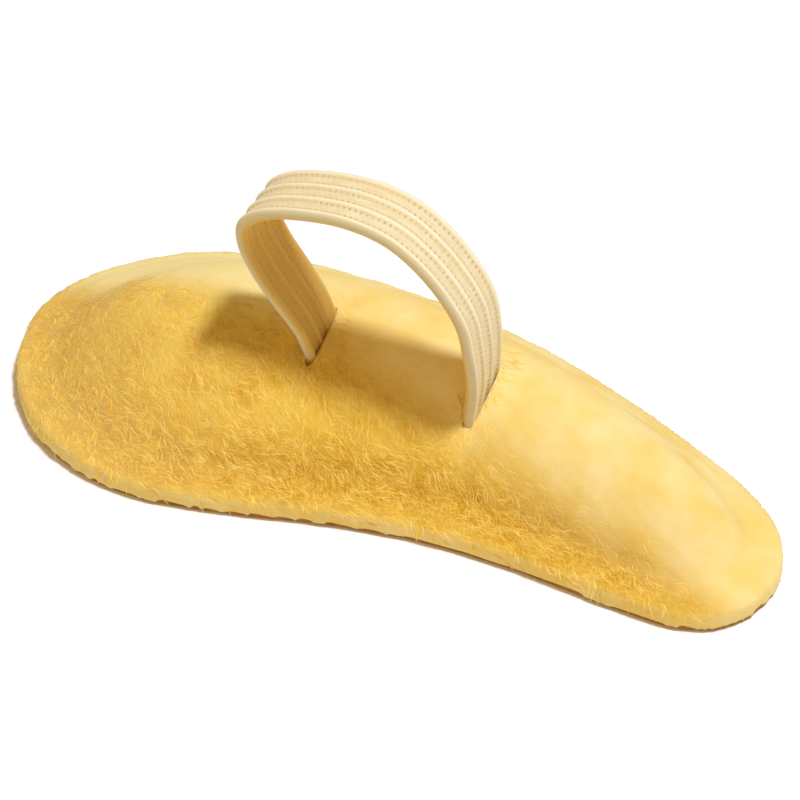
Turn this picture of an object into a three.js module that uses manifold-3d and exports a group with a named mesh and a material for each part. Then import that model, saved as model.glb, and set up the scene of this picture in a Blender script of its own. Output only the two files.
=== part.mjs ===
// A hammer toe cushion: a crest of soft felt under a brushed fabric cover, closed below by a flat
// sole sheet, with a ribbed elastic loop that stands up through two slits to hold one toe.
// Millimetres, +Z up. The cushion lies flat on z = 0 with its length along X: the wide end is at -X,
// the narrow end at +X, the hollow front edge faces -Y. The origin is under the middle of its box.
import * as THREE from 'three';
import { mergeVertices } from 'three/addons/utils/BufferGeometryUtils.js';
import Module from 'manifold-3d';

const wasm = await Module();
wasm.setup();

// Driving sizes of the cushion
const CUSHION_LENGTH = 82.5; // wide tip to narrow tip
const CUSHION_WIDTH = 37.4; // hollow front edge to round back edge, rims included
const CREST_HEIGHT = 13; // table to the top of the crest
const SOLE_THICKNESS = 1.1; // flat sheet that closes the cushion below
const COVER_THICKNESS = 1.2; // brushed fabric over the crest
const RIM_WIDTH = 2.4; // flat border where the cover is glued to the sole
const RIM_ROUNDING = 0.5; // of the cover's cut edge
const GLUE_GAP = 0.1; // between glued faces
const FELT_MARGIN = 1.2; // from the cover's foot in to the edge of the felt
const FELT_GAP = 0.3; // between the felt and the cover over it

// Driving sizes of the elastic loop
const BAND_WIDTH = 7.2;
const BAND_THICKNESS = 1.3; // over the ribs
const RIB_COUNT = 4; // on each face, the two edges included
const RIB_WIDTH = 0.7;
const RIB_HEIGHT = 0.2; // over the flat panels between the ribs
const SLIT_SPACING = 17.2; // between the legs, middle to middle, where they leave the cover
const TOE_ROOM = 17.6; // from the top of the crest to the loop's middle line at its highest
const BAND_BEND = 2; // radius of the hidden bends between sole and felt
const SLIT_CLEARANCE = 0.3; // all round the band, in the cover and in the felt
const LOOP_ALONG = 0.5; // place of the loop's middle, as a share of the cushion's length
const LOOP_ACROSS = -0.04; // and as a share of its width, from the middle

// The plan outline from the wide tip to the narrow tip. along is a share of the length, front and
// back are shares of the width measured from its middle.
const OUTLINE = [
  { along: 0, front: 0, back: 0 },
  { along: 0.06, front: -0.332, back: 0.284 },
  { along: 0.14, front: -0.457, back: 0.418 },
  { along: 0.24, front: -0.501, back: 0.485 },
  { along: 0.36, front: -0.456, back: 0.5 },
  { along: 0.48, front: -0.382, back: 0.482 },
  { along: 0.6, front: -0.337, back: 0.433 },
  { along: 0.72, front: -0.332, back: 0.346 },
  { along: 0.84, front: -0.351, back: 0.235 },
  { along: 0.93, front: -0.346, back: 0.129 },
  { along: 0.975, front: -0.284, back: 0.036 },
  { along: 1, front: -0.124, back: -0.124 },
];

// The crest line that the slopes rise to, between its two ends. along and across are shares as
// above, height is a share of the crest height, and a higher fullness makes the slopes rounder and
// the top flatter.
const CREST = [
  { along: 0.22, across: 0.031, height: 0.86, fullness: 2.6 },
  { along: 0.34, across: 0.072, height: 0.965, fullness: 3 },
  { along: 0.48, across: 0.093, height: 1, fullness: 2.8 },
  { along: 0.62, across: 0.067, height: 0.955, fullness: 2.5 },
  { along: 0.75, across: 0.01, height: 0.85, fullness: 2.5 },
  { along: 0.87, across: -0.057, height: 0.71, fullness: 2.5 },
];

// The loop's visible middle line from the left slit over the toe to the right slit. run is a share
// of the slit spacing from the middle, rise a share of the loop's height over its hidden run.
const LOOP_LINE = [
  { run: -0.5, rise: 0.33 },
  { run: -0.56, rise: 0.435 },
  { run: -0.67, rise: 0.546 },
  { run: -0.8, rise: 0.66 },
  { run: -0.875, rise: 0.762 },
  { run: -0.87, rise: 0.852 },
  { run: -0.74, rise: 0.921 },
  { run: -0.52, rise: 0.966 },
  { run: -0.25, rise: 0.988 },
  { run: 0, rise: 0.966 },
  { run: 0.195, rise: 0.897 },
  { run: 0.36, rise: 0.795 },
  { run: 0.475, rise: 0.68 },
  { run: 0.52, rise: 0.54 },
  { run: 0.52, rise: 0.4 },
  { run: 0.5, rise: 0.28 },
];

// How finely the curved surfaces are cut
const OUTLINE_STEPS = 64; // even, so that front and back points pair up
const DOME_STEPS = 7;
const LOOP_STEPS = 72;
const FOOT_SOFTNESS = 1.3; // over 1, the dome leaves its rim in a soft hollow

// Derived levels
const COVER_BASE = SOLE_THICKNESS + GLUE_GAP;
const RUN_LEVEL = COVER_BASE + BAND_THICKNESS / 2;
const LOOP_HEIGHT = CREST_HEIGHT + TOE_ROOM - RUN_LEVEL;
const BELOW_ALL = -1; // a level under the sole, where cutting solids start

function placeInPlan(along, across) {
  return new THREE.Vector2((along - 0.5) * CUSHION_LENGTH, across * CUSHION_WIDTH);
}

// A smooth function through pairs of a place and a value.
function smoothThrough(places, values) {
  const spline = new THREE.CubicInterpolant(places, values, 1);
  return (place) => spline.evaluate(place)[0];
}

const crestColumn = (name) => smoothThrough(CREST.map((row) => row.along), CREST.map((row) => row[name]));
const crestAcross = crestColumn('across');
const crestHeight = crestColumn('height');
const crestFullness = crestColumn('fullness');

// The outline is followed by an angle that goes once round it: 0 at the wide tip, the front edge up
// to PI at the narrow tip, and back along the back edge. Its cosine gives the place along.
const angleAt = (along) => Math.acos(1 - 2 * along);
const alongAt = (angle) => (1 - Math.cos(angle)) / 2;

function outlineAcross() {
  const front = OUTLINE.map((row) => [angleAt(row.along), row.front]);
  const back = OUTLINE.slice(1, -1).reverse().map((row) => [2 * Math.PI - angleAt(row.along), row.back]);
  const round = [...front, ...back];
  const turn = (by) => ([angle, across]) => [angle + by, across];
  const rows = [
    ...round.slice(-2).map(turn(-2 * Math.PI)),
    ...round,
    ...round.slice(0, 2).map(turn(2 * Math.PI)),
  ];
  return smoothThrough(rows.map(([angle]) => angle), rows.map(([, across]) => across));
}

// Each outline point has a spoke that runs inwards to its foot on the crest line. A front point and
// its partner on the back edge share one foot.
function makeSpokes() {
  const acrossAt = outlineAcross();
  return Array.from({ length: OUTLINE_STEPS }, (_, i) => {
    const angle = (2 * Math.PI * i) / OUTLINE_STEPS;
    const pairAngle = Math.min(angle, 2 * Math.PI - angle);
    const ridgeAlong = THREE.MathUtils.lerp(CREST[0].along, CREST.at(-1).along, alongAt(pairAngle));
    const edge = placeInPlan(alongAt(angle), acrossAt(angle));
    const foot = placeInPlan(ridgeAlong, crestAcross(ridgeAlong));
    return {
      edge,
      foot,
      length: edge.distanceTo(foot),
      top: crestHeight(ridgeAlong) * CREST_HEIGHT,
      fullness: crestFullness(ridgeAlong),
    };
  });
}

const SPOKES = makeSpokes();

// One closed ring of points: how far in from the edge each spoke's point lies, and at what level.
function ringOf(insetOf, levelOf) {
  return SPOKES.map((spoke) => {
    const plan = spoke.edge.clone().lerp(spoke.foot, insetOf(spoke) / spoke.length);
    return new THREE.Vector3(plan.x, plan.y, levelOf(spoke));
  });
}

function flatRing(inset, level) {
  return ringOf(() => inset, () => level);
}

// The rings of a dome that starts `inset` in from the edge at level `base` and ends `drop` under the
// cover's outer surface at the crest line, where the last ring folds flat on itself.
function domeRings(inset, base, drop) {
  return Array.from({ length: DOME_STEPS + 1 }, (_, step) => {
    const share = step / DOME_STEPS;
    const swell = ({ fullness }) => 1 - (1 - share ** FOOT_SOFTNESS) ** fullness;
    return ringOf(
      (spoke) => inset + (spoke.length - inset) * share,
      (spoke) => base + (spoke.top - drop - base) * swell(spoke),
    );
  });
}

function toManifold(geometry) {
  const bare = geometry.index ? geometry.toNonIndexed() : geometry.clone();
  bare.deleteAttribute('normal');
  bare.deleteAttribute('uv');
  const merged = mergeVertices(bare);
  return new wasm.Manifold(new wasm.Mesh({
    numProp: 3,
    vertProperties: merged.attributes.position.array,
    triVerts: new Uint32Array(merged.index.array),
  }));
}

function toGeometry(manifold) {
  const mesh = manifold.getMesh();
  const geometry = new THREE.BufferGeometry();
  const places = new Float32Array(mesh.numVert * 3);
  for (let i = 0; i < mesh.numVert; i += 1) {
    places.set(mesh.vertProperties.subarray(i * mesh.numProp, i * mesh.numProp + 3), i * 3);
  }
  geometry.setAttribute('position', new THREE.BufferAttribute(places, 3));
  geometry.setIndex(new THREE.BufferAttribute(new Uint32Array(mesh.triVerts), 1));
  return geometry;
}

function geometryFrom(points, triangles) {
  const geometry = new THREE.BufferGeometry().setFromPoints(points);
  geometry.setIndex(triangles);
  return geometry;
}

// Two triangles for each side of neighbouring rings of `count` points.
function wallTriangles(lower, upper, count) {
  const triangles = [];
  for (let i = 0; i < count; i += 1) {
    const next = (i + 1) % count;
    triangles.push(lower + i, lower + next, upper + next);
    triangles.push(lower + i, upper + next, upper + i);
  }
  return triangles;
}

// A closed solid through a stack of rings from the bottom up. A dome's last ring is folded on the
// crest line, so it needs no cap.
function stackSolid(rings, isDome) {
  const count = rings[0].length;
  const triangles = rings.slice(1).flatMap((ring, i) => wallTriangles(i * count, (i + 1) * count, count));
  const caps = THREE.ShapeUtils.triangulateShape(rings[0], []);
  const lastStart = (rings.length - 1) * count;
  caps.forEach(([a, b, c]) => triangles.push(a, c, b));
  if (!isDome) caps.forEach(([a, b, c]) => triangles.push(lastStart + a, lastStart + b, lastStart + c));
  return toManifold(geometryFrom(rings.flat(), triangles));
}

// The loop's middle line in the XZ plane: over the toe, then hidden between sole and felt.
function loopLine() {
  const middle = placeInPlan(LOOP_ALONG, LOOP_ACROSS);
  const visible = LOOP_LINE.map(({ run, rise }) => (
    new THREE.Vector2(middle.x + run * SLIT_SPACING, RUN_LEVEL + rise * LOOP_HEIGHT)
  ));
  const first = visible[0];
  const last = visible.at(-1);
  const bendLevel = RUN_LEVEL + BAND_BEND;
  const path = new THREE.Path();
  path.moveTo(first.x, first.y);
  path.splineThru(visible.slice(1));
  path.lineTo(last.x, bendLevel);
  path.absarc(last.x - BAND_BEND, bendLevel, BAND_BEND, 0, -Math.PI / 2, true);
  path.lineTo(first.x + BAND_BEND, RUN_LEVEL);
  path.absarc(first.x + BAND_BEND, bendLevel, BAND_BEND, -Math.PI / 2, -Math.PI, true);
  path.lineTo(first.x, first.y);
  return path;
}

// One face of the ribbed section: bevelled ribs with a flat panel between each two.
function ribbedFace() {
  const ribSpacing = (BAND_WIDTH - RIB_WIDTH) / (RIB_COUNT - 1);
  const crown = BAND_THICKNESS / 2;
  const bevel = RIB_WIDTH / 4;
  return Array.from({ length: RIB_COUNT }, (_, rib) => {
    const start = -BAND_WIDTH / 2 + rib * ribSpacing;
    return [
      { across: start, out: crown - RIB_HEIGHT },
      { across: start + bevel, out: crown },
      { across: start + RIB_WIDTH - bevel, out: crown },
      { across: start + RIB_WIDTH, out: crown - RIB_HEIGHT },
    ];
  }).flat();
}

function ribbedSection() {
  const face = ribbedFace();
  const underside = face.map(({ across, out }) => ({ across, out: -out })).reverse();
  return [...face, ...underside];
}

// The plain box round the band, for the slits and the groove that it passes through.
function slitSection() {
  const across = BAND_WIDTH / 2 + SLIT_CLEARANCE;
  const out = BAND_THICKNESS / 2 + SLIT_CLEARANCE;
  return [
    { across: -across, out },
    { across, out },
    { across, out: -out },
    { across: -across, out: -out },
  ];
}

// A closed ring: the section carried once round the loop.
function sweepRing(section) {
  const middleAcross = placeInPlan(LOOP_ALONG, LOOP_ACROSS).y;
  const line = loopLine();
  const points = [];
  const triangles = [];
  for (let step = 0; step < LOOP_STEPS; step += 1) {
    const share = step / LOOP_STEPS;
    const place = line.getPointAt(share);
    const heading = line.getTangentAt(share);
    const outward = new THREE.Vector2(-heading.y, heading.x);
    section.forEach(({ across, out }) => {
      const spot = outward.clone().multiplyScalar(out).add(place);
      points.push(new THREE.Vector3(spot.x, middleAcross + across, spot.y));
    });
  }
  const count = section.length;
  for (let step = 0; step < LOOP_STEPS; step += 1) {
    const ahead = (step + 1) % LOOP_STEPS;
    triangles.push(...wallTriangles(ahead * count, step * count, count));
  }
  return toManifold(geometryFrom(points, triangles));
}

function soleSheet() {
  return stackSolid([flatRing(0, 0), flatRing(0, SOLE_THICKNESS)], false);
}

// The cover: its cut edge, its flat rim, and a dome that is hollow for the felt.
function topCover(slits) {
  const rimTop = COVER_BASE + COVER_THICKNESS;
  const outside = stackSolid([
    flatRing(0, COVER_BASE),
    flatRing(0, rimTop - RIM_ROUNDING),
    flatRing(RIM_ROUNDING, rimTop),
    ...domeRings(RIM_WIDTH, rimTop, 0),
  ], true);
  const hollowFoot = RIM_WIDTH + COVER_THICKNESS;
  const hollow = stackSolid([
    flatRing(hollowFoot, BELOW_ALL),
    ...domeRings(hollowFoot, COVER_BASE, COVER_THICKNESS),
  ], true);
  return outside.subtract(hollow).subtract(slits);
}

function feltCore(slits) {
  const edge = RIM_WIDTH + COVER_THICKNESS + FELT_MARGIN;
  const felt = stackSolid([
    flatRing(edge, COVER_BASE),
    ...domeRings(edge, COVER_BASE + GLUE_GAP, COVER_THICKNESS + FELT_GAP),
  ], true);
  return felt.subtract(slits);
}

function fabric(color, roughness) {
  return new THREE.MeshStandardMaterial({ color, roughness, metalness: 0 });
}

function piece(name, manifold, material) {
  const mesh = new THREE.Mesh(toGeometry(manifold), material);
  mesh.name = name;
  return mesh;
}

const slits = sweepRing(slitSection());
const group = new THREE.Group();
group.add(
  piece('sole_sheet', soleSheet(), fabric('#c9a24a', 0.9)),
  piece('felt_core', feltCore(slits), fabric('#efe6c8', 1)),
  piece('top_cover', topCover(slits), fabric('#e8bd55', 0.95)),
  piece('toe_loop', sweepRing(ribbedSection()), fabric('#f0e2b4', 0.85)),
);

export default group;
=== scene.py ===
# %% [markdown]
# # A hammer toe cushion
# This small cushion lies under the toes and lifts them. It is a crest of soft felt under a brushed
# golden fabric, glued down on a flat sole sheet, and one toe goes through the loop of ribbed
# elastic on top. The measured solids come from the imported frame. This lesson dresses them: it
# swells and mats the padding, knits the elastic, and lays a nap of fibres over the fabric.

# %% Load the frame
import math

import bmesh
import bpy
from mathutils import Matrix, Vector, kdtree, noise


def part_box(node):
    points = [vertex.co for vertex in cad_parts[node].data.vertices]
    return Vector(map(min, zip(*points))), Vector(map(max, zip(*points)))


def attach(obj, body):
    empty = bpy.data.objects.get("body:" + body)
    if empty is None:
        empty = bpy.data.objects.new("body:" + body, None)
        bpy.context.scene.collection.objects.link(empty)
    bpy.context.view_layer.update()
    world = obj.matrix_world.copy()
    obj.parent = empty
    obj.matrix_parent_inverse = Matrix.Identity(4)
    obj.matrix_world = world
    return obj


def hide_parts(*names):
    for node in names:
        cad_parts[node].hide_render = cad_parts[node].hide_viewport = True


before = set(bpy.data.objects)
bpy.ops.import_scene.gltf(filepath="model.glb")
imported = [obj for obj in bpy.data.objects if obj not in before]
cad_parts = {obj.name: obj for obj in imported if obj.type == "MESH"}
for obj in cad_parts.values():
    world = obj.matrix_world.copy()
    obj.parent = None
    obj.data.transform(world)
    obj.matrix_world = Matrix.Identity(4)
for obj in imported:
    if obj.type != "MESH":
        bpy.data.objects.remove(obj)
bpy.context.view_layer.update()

MM = 0.001  # every size below is in millimetres, and Blender works in metres

for node in sorted(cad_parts):
    low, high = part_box(node)
    print(node, "is", [round(side / MM, 1) for side in high - low], "mm")

# %% [markdown]
# ## The camera
# It comes first, because everything is judged through it. A long lens a half metre away gives the
# quiet perspective of a catalogue photo. It looks down by 42 degrees and 25 degrees round from the
# hollow front edge, at a point a little behind the middle of the cushion.

# %% Camera
VIEW_AZIMUTH = 25
VIEW_ELEVATION = 42
VIEW_DISTANCE = 450
VIEW_TARGET = (-3.0, 5.3, 0)
LENS = 200.7
SENSOR = 36


def direction(azimuth, elevation):
    """The unit vector towards a place round the object: azimuth 0 is in front, at -Y."""
    turn, lift = math.radians(azimuth), math.radians(elevation)
    flat = math.cos(lift)
    return Vector((math.sin(turn) * flat, -math.cos(turn) * flat, math.sin(lift)))


def new_object(name, data):
    made = bpy.data.objects.new(name, data)
    bpy.context.scene.collection.objects.link(made)
    return made


def aim(thing, towards, distance, target):
    """Puts a camera or a light at a distance from its target, looking at it."""
    thing.location = Vector(target) * MM + towards * distance * MM
    thing.rotation_euler = towards.to_track_quat("Z", "Y").to_euler()


camera = new_object("camera", bpy.data.cameras.new("camera"))
camera.data.lens = LENS
camera.data.sensor_width = SENSOR
camera.data.clip_start = 0.02
camera.data.clip_end = 20
aim(camera, direction(VIEW_AZIMUTH, VIEW_ELEVATION), VIEW_DISTANCE, VIEW_TARGET)
bpy.context.scene.camera = camera
print("camera at", [round(x / MM) for x in camera.location], "mm")

# %% [markdown]
# ## Helpers for colours and nodes
# A colour is written as the hex value that the eye sees, and one function turns it to the linear
# numbers that light adds up in. One more function adds a node. Its settings are the node's own
# properties or its inputs, and an input takes a number, a colour or another node's output. Dyes
# and wear lie over each other, so a third function lays one colour over another, and the last one
# ends a surface with its colour and its fine relief.

# %% Colour and node helpers
GAMMA_KNEE = 0.04045


def linear(hex_value):
    """An sRGB hex value, such as 'e4b94f', as a linear colour with full alpha."""
    shares = [int(hex_value[start:start + 2], 16) / 255 for start in (0, 2, 4)]
    return [
        share / 12.92 if share <= GAMMA_KNEE else ((share + 0.055) / 1.055) ** 2.4
        for share in shares
    ] + [1.0]


def add_node(tree, kind, settings):
    """A new node with its own properties, its inputs by name or number, and its links."""
    node = tree.nodes.new(kind)
    for name, value in settings.items():
        if not isinstance(name, int) and name not in node.inputs:
            setattr(node, name, value)
        elif isinstance(value, bpy.types.NodeSocket):
            tree.links.new(value, node.inputs[name])
        else:
            is_colour = node.inputs[name].type == "RGBA"
            node.inputs[name].default_value = linear(value) if is_colour else value
    return node


def new_material(name, **sockets):
    """A material with its Principled shader, whose plain numbers go on its own sockets."""
    material = bpy.data.materials.new(name)
    material.use_nodes = True
    shader = material.node_tree.nodes["Principled BSDF"]
    for socket, value in sockets.items():
        shader.inputs[socket.replace("_", " ")].default_value = value
    return material, material.node_tree, shader


def lay_colour(tree, under, over, *shares):
    """One colour over another, as strongly as the product of the shares."""
    strength, *others = shares
    for share in others:
        product = {"operation": "MULTIPLY", 0: strength, 1: share}
        strength = add_node(tree, "ShaderNodeMath", product).outputs[0]
    mixed = add_node(tree, "ShaderNodeMix", {"data_type": "RGBA", 0: strength, 6: under, 7: over})
    return mixed.outputs[2]


def finish_surface(tree, shader, colour, height, depth, strength):
    """Links the colour, and a relief of a depth in millimetres, to the shader."""
    relief = {"Height": height, "Distance": depth * MM, "Strength": strength}
    raised = add_node(tree, "ShaderNodeBump", relief)
    tree.links.new(colour, shader.inputs["Base Color"])
    tree.links.new(raised.outputs["Normal"], shader.inputs["Normal"])


print("gold is", [round(share, 3) for share in linear("e4b94f")])

# %% [markdown]
# ## The line of the elastic
# The loop is one strip of elastic. It comes up through the left slit, leans out to the left, goes
# over the toe and down through the right slit, and its hidden run lies between sole and felt.
# The route repeats the construction's own table of shares, and a Catmull-Rom curve through it
# gives places as close together as the knit needs.

# %% Route of the elastic
CUSHION_WIDTH = 37.4
CREST_HEIGHT = 13
TOE_ROOM = 17.6
RUN_LEVEL = 1.85
BAND_BEND = 2
BAND_WIDTH = 7.2
BAND_THICKNESS = 1.3
SLIT_SPACING = 17.2
LOOP_ACROSS = -0.04 * CUSHION_WIDTH
SLIT_SHIFT = 0.5  # the strip is gathered towards the back where it goes in
LOOP_HEIGHT = CREST_HEIGHT + TOE_ROOM - RUN_LEVEL
LOOP_ROUTE = [  # run in shares of the slit spacing, rise in shares of the loop's height
    (-0.5, 0.33), (-0.56, 0.435), (-0.67, 0.546), (-0.8, 0.66),
    (-0.875, 0.762), (-0.87, 0.852), (-0.74, 0.921), (-0.52, 0.966),
    (-0.25, 0.988), (0, 0.966), (0.195, 0.897), (0.36, 0.795),
    (0.475, 0.68), (0.52, 0.54), (0.52, 0.4), (0.5, 0.28),
]
STITCH = 0.6  # between two neighbouring weft threads of the elastic
KNIT_STEP = STITCH / 5
HIDDEN_STEP = 1.0
CURVE_STEPS = 40
BEND_STEPS = 12


def catmull_rom(a, b, c, d, share):
    """The point between b and c on the smooth curve through a, b, c and d."""
    square, cube = share ** 2, share ** 3
    return 0.5 * (
        2 * b + (c - a) * share + (2 * a - 5 * b + 4 * c - d) * square
        + (3 * b - a - 3 * c + d) * cube
    )


def visible_route():
    knots = [Vector((run * SLIT_SPACING, RUN_LEVEL + rise * LOOP_HEIGHT)) for run, rise in LOOP_ROUTE]
    padded = [knots[0], *knots, knots[-1]]
    return [
        catmull_rom(*padded[i:i + 4], step / CURVE_STEPS)
        for i in range(len(knots) - 1)
        for step in range(CURVE_STEPS)
    ] + [knots[-1]]


def hidden_route(start, end):
    """From the right slit down, round the first bend, along the run, and up to the left slit."""
    middles = ((start.x - BAND_BEND, 0), (end.x + BAND_BEND, -math.pi / 2))
    bends = [
        Vector((across, RUN_LEVEL + BAND_BEND)) + BAND_BEND * Vector((math.cos(angle), math.sin(angle)))
        for across, first in middles
        for angle in [first - math.pi / 2 * step / BEND_STEPS for step in range(BEND_STEPS + 1)]
    ]
    return [start, *bends, end]


def evenly(route, step):
    """Places along a route, about one step apart, with the first and last kept."""
    lengths = [0.0]
    for a, b in zip(route, route[1:]):
        lengths.append(lengths[-1] + (b - a).length)
    count = max(2, round(lengths[-1] / step))
    places, reached = [], 0
    for index in range(count + 1):
        wanted = lengths[-1] * index / count
        while reached < len(route) - 2 and lengths[reached + 1] < wanted:
            reached += 1
        span = lengths[reached + 1] - lengths[reached]
        places.append(route[reached].lerp(route[reached + 1], (wanted - lengths[reached]) / span))
    return places, lengths[-1]


shown, shown_length = evenly(visible_route(), KNIT_STEP)
hidden, hidden_length = evenly(hidden_route(shown[-1], shown[0]), HIDDEN_STEP)
loop_places = shown + hidden[1:-1]
print("elastic shows", round(shown_length, 1), "mm and hides", round(hidden_length, 1), "mm")

# %% [markdown]
# ## The padded cushion
# On the real thing, brushed fabric is stretched over carved felt and glued down round it. It could
# be sculpted by hand, but padding looks right when it is made as padding is: from one closed skin
# that is blown up a little. So the cover's outer faces are copied and closed, the facets are
# smoothed away, more so behind, where the fabric runs down to the rim in one soft slope. Then the
# Cloth simulation swells the skin while its glued rim is held. Cloth is tuned for things the size
# of clothes, so the copy is simulated ten times as large.

# %% Close the cover's outer skin
COVER_BASE = 1.2
SLIT_MARGIN = 2.4
FACES_DOWN = -0.05  # a face whose normal rises less than this looks down
SLIT_WALL = 0.75  # and a slit's wall rises less than this


def object_from(bm, name):
    """Turns a bmesh into an object at the origin."""
    mesh = bpy.data.meshes.new(name)
    bm.to_mesh(mesh)
    bm.free()
    return new_object(name, mesh)


def merged_copy(node):
    """A bmesh of a CAD node, with its loose triangles joined at their corners."""
    bm = bmesh.new()
    bm.from_mesh(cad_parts[node].data)
    bmesh.ops.remove_doubles(bm, verts=bm.verts, dist=0.002 * MM)
    return bm


def leg_at(level, is_left):
    """Place and heading of a leg's middle line where it passes a level."""
    half = shown[:len(shown) // 2] if is_left else shown[:len(shown) // 2:-1]
    index = next(i for i, place in enumerate(half) if place.y > level)
    place, heading = half[index], (half[index + 4] - half[index]).normalized()
    return Vector((place.x, LOOP_ACROSS, place.y)) * MM, Vector((heading.x, 0, heading.y))


def in_slit(point):
    """True close to one of the two slits, seen from above."""
    beside = abs(abs(point.x) - SLIT_SPACING / 2 * MM)
    across = abs(point.y - LOOP_ACROSS * MM)
    return beside < SLIT_MARGIN * MM and across < (BAND_WIDTH / 2 + SLIT_MARGIN / 4) * MM


def is_inside_face(face):
    """The hollow's faces look down, and the slits' faces look sideways high up in the dome."""
    middle = face.calc_center_median()
    looks_down = face.normal.z < FACES_DOWN
    slit_wall = in_slit(middle) and face.normal.z < SLIT_WALL
    return looks_down or slit_wall


skin = merged_copy("top_cover")
bmesh.ops.dissolve_degenerate(skin, edges=skin.edges, dist=0.05 * MM)  # slivers of the facets
skin.normal_update()
bmesh.ops.delete(skin, geom=[f for f in skin.faces if is_inside_face(f)], context="FACES")
open_edges = [edge for edge in skin.edges if edge.is_boundary]
bmesh.ops.holes_fill(skin, edges=open_edges, sides=0)
bmesh.ops.triangulate(skin, faces=[face for face in skin.faces if len(face.verts) > 4])
bmesh.ops.recalc_face_normals(skin, faces=skin.faces)
leaks = sum(not edge.is_manifold for edge in skin.edges)
print("closed skin has", len(skin.faces), "faces and", leaks, "open edges")

# %% Remesh the skin and round its facets off
SIM_SCALE = 10
VOXEL = 0.68
RIM_TOP = 2.4
HEM_TOP = 1.7
FREE_ABOVE = 3.4
BACK = (0, 5)  # the back slope starts and is reached, along Y
BACK_ABOVE = HEM_TOP + 0.8
SMOOTH_SHARE = 0.5
SMOOTH_ROUNDS = {"free": 40, "back": 60}


def apply_modifiers(thing):
    """Bakes an object's modifiers into its mesh."""
    graph = bpy.context.evaluated_depsgraph_get()
    mesh = bpy.data.meshes.new_from_object(thing.evaluated_get(graph))
    thing.modifiers.clear()
    thing.data = mesh


def smooth_step(low, high, value):
    """0 below low, 1 above high, and a soft ramp between them."""
    share = min(1, max(0, (value - low) / (high - low)))
    return share * share * (3 - 2 * share)


def set_weights(thing, name, weight_of):
    """A vertex group whose weight is worked out from each vertex."""
    group = thing.vertex_groups.new(name=name)
    for vertex in thing.data.vertices:
        group.add([vertex.index], weight_of(vertex.co / MM / SIM_SCALE), "REPLACE")


bmesh.ops.scale(skin, vec=(SIM_SCALE,) * 3, verts=skin.verts)
cushion = object_from(skin, "cushion_cover")
remesh = cushion.modifiers.new("remesh", "REMESH")
remesh.mode = "VOXEL"
remesh.voxel_size = VOXEL * MM * SIM_SCALE
apply_modifiers(cushion)
set_weights(cushion, "free", lambda place: smooth_step(HEM_TOP, FREE_ABOVE, place.z))
set_weights(
    cushion, "back",
    lambda place: smooth_step(HEM_TOP, BACK_ABOVE, place.z) * smooth_step(*BACK, place.y),
)
for group_name, rounds in SMOOTH_ROUNDS.items():
    smoother = cushion.modifiers.new(group_name, "SMOOTH")
    smoother.factor = SMOOTH_SHARE
    smoother.iterations = rounds
    smoother.vertex_group = group_name
apply_modifiers(cushion)
print("cushion skin has", len(cushion.data.polygons), "faces after the remesh")

# %% [markdown]
# The fabric is glued down to the sole's outline, so every step near the rim needs to know how far
# inside that outline a place is. The outline comes from the sole's solid. Its corners are rounded
# off by the same curve as the elastic's route, and the shears left it a little ragged.

# %% Outline of the sole
OUTLINE_CUTS = 3
RAGGED = 0.12
RAGGED_LENGTH = 1.2


def cut_outline():
    """The sole's outline from its solid, counter-clockwise and rounded between the corners."""
    solid = merged_copy("sole_sheet")
    bmesh.ops.dissolve_limit(solid, angle_limit=math.radians(1), verts=solid.verts, edges=solid.edges)
    top = max(solid.faces, key=lambda face: face.calc_area() * face.normal.z)
    corners = [Vector((vertex.co.x, vertex.co.y, 0)) for vertex in top.verts]
    solid.free()
    count = len(corners)
    rounded = [
        catmull_rom(*(corners[(index + step) % count] for step in (-1, 0, 1, 2)), share / OUTLINE_CUTS)
        for index in range(count)
        for share in range(OUTLINE_CUTS)
    ]
    return [
        point * (1 + RAGGED * MM / point.length * noise.noise(point / (RAGGED_LENGTH * MM)))
        for point in rounded
    ]


sole_outline = cut_outline()
outline_tree = kdtree.KDTree(len(sole_outline))
for number, point in enumerate(sole_outline):
    outline_tree.insert(point, number)
outline_tree.balance()


def from_outline(place):
    """How far inside the outline a place is, in millimetres seen from above, and which way is out."""
    seen = Vector((place.x, place.y, 0)) * MM
    at, index, _ = outline_tree.find(seen)
    along = sole_outline[(index + 1) % len(sole_outline)] - sole_outline[index - 1]
    out = along.cross(Vector((0, 0, 1))).normalized()
    return (at - seen).dot(out) / MM, out


print("the outline has", len(sole_outline), "points")

# %% [markdown]
# The slits pull the fabric down round the elastic. So before it swells, the skin is drawn in a
# little everywhere, pressed down along both slits, where it stays pinned like the rim, and filled
# in behind, where rim and crest met in a crease. After the simulation no point may have moved
# more than half a millimetre, because the padding has to keep the space that the construction
# gives it.

# %% Swell the cushion
DRAW_IN = 0.3
SLIT_DEPTH = 0.3
SLIT_SPREAD = 1.3
SLIT_HALF = 3.8
SLIT_LEVEL = CREST_HEIGHT - 0.6
CREST = (6, 9)  # levels at which the crest's own features start and are full
PRESSURE = 10
SKIN_POINT_MASS = 0.004
SWELL_FRAMES = 20
SWELL_CAP = 0.5
SWELL_FREE = 4.4  # the fabric swells fully above this level
CREASE = 2.9  # from the outline in to the crease between rim and dome
CREASE_FILL = 0.55
CREASE_FACES = (0, 0.4)  # what looks up more than this is filled

legs = [leg_at(SLIT_LEVEL, is_left) for is_left in (True, False)]


def slit_distance(place):
    """How far a place is from the nearer slit's cut line, in millimetres, seen from above."""
    reach = max(0, abs(place.y - LOOP_ACROSS - SLIT_SHIFT) - SLIT_HALF)
    return min(math.hypot(place.x - leg.x / MM, reach) for leg, _ in legs)


def slit_pull(place):
    """1 on a slit's cut line, fading to nothing a few millimetres away, and only on the crest."""
    return math.exp(-(slit_distance(place) / SLIT_SPREAD) ** 2) * smooth_step(*CREST, place.z)


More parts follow.
